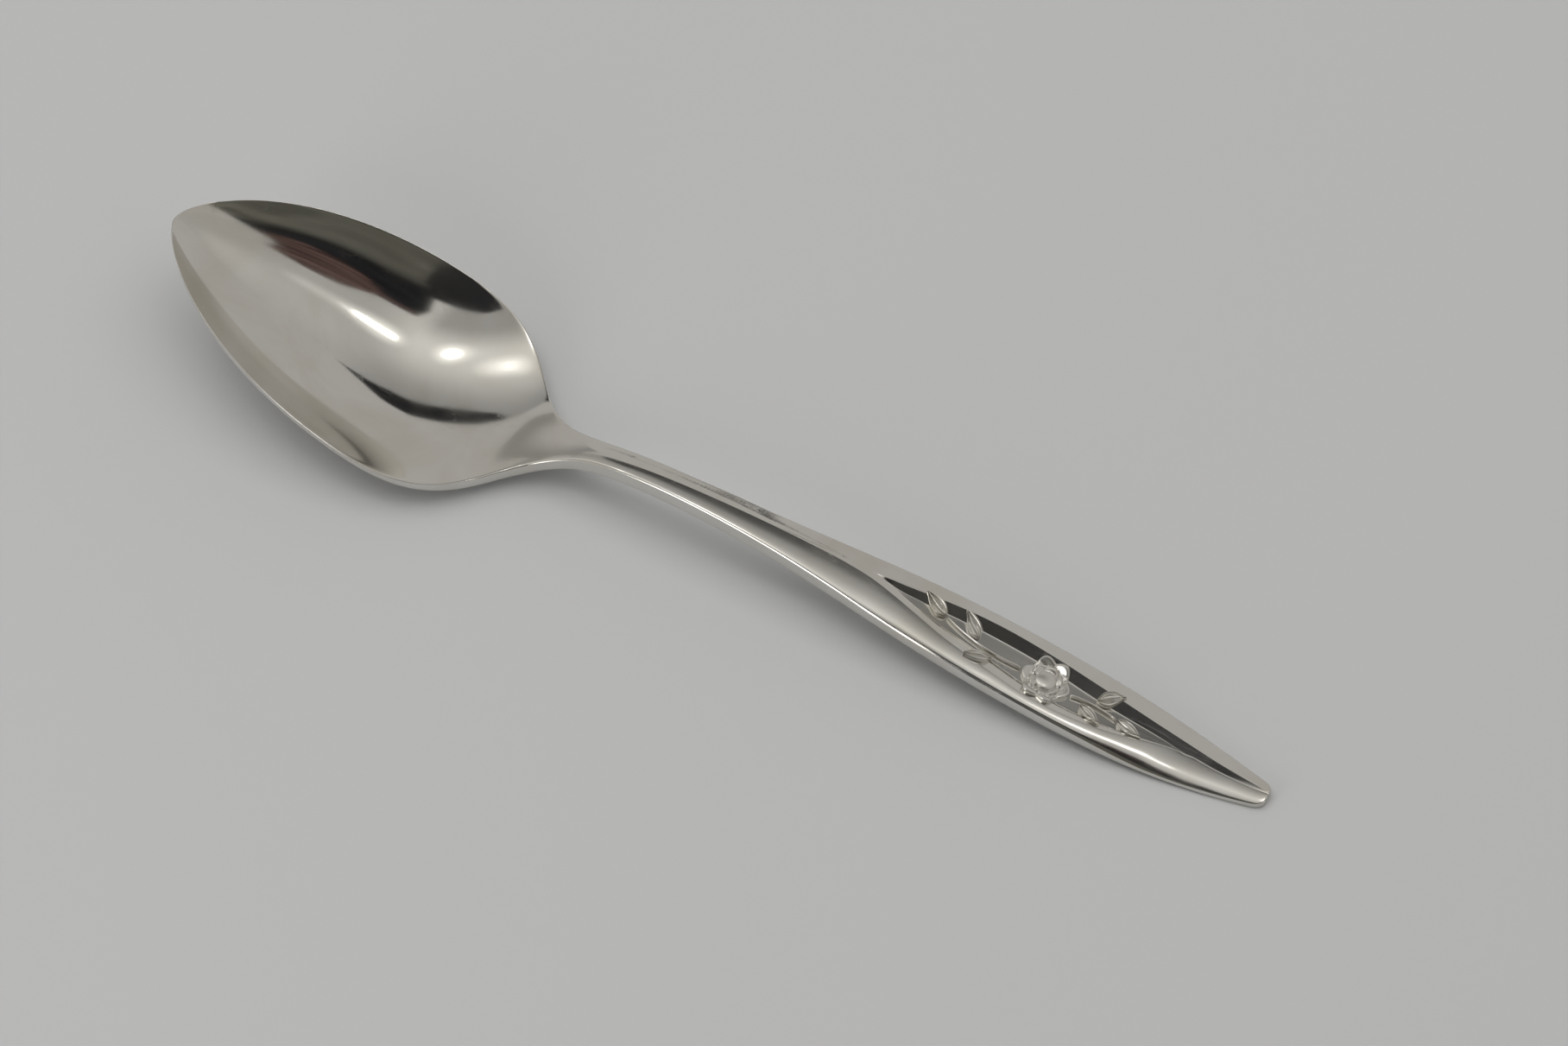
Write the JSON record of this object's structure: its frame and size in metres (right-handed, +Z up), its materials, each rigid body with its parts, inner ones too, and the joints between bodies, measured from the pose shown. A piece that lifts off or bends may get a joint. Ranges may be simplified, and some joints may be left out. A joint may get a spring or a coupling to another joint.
{
  "type": "coffee spoon",
  "caption": "Small polished steel coffee spoon with a pointed egg-shaped bowl, arched handle and a sunk leaf-shaped panel carrying a relief rosette with leafy sprigs.",
  "frame": {"origin": "on the table, under the middle of the spoon's length and width", "axes": "+X from the bowl's tip to the handle's end, +Y across the spoon, +Z up out of the open bowl"},
  "size_m": [0.116, 0.0234, 0.0121],
  "materials": {
    "polished_steel": "polished stainless steel with fine scratches from use",
    "relief_steel": "stamped stainless steel relief, polished on top and duller in the hollows"
  },
  "bodies": {
    "root": {"bowl": "polished_steel", "handle": "polished_steel", "rosette_petals": "relief_steel", "rosette_heart": "relief_steel", "front_stem": "relief_steel", "back_stem": "relief_steel", "leaf_1": "relief_steel", "leaf_2": "relief_steel", "leaf_3": "relief_steel", "leaf_4": "relief_steel", "leaf_5": "relief_steel", "leaf_6": "relief_steel"}
  },
  "joints": []
}
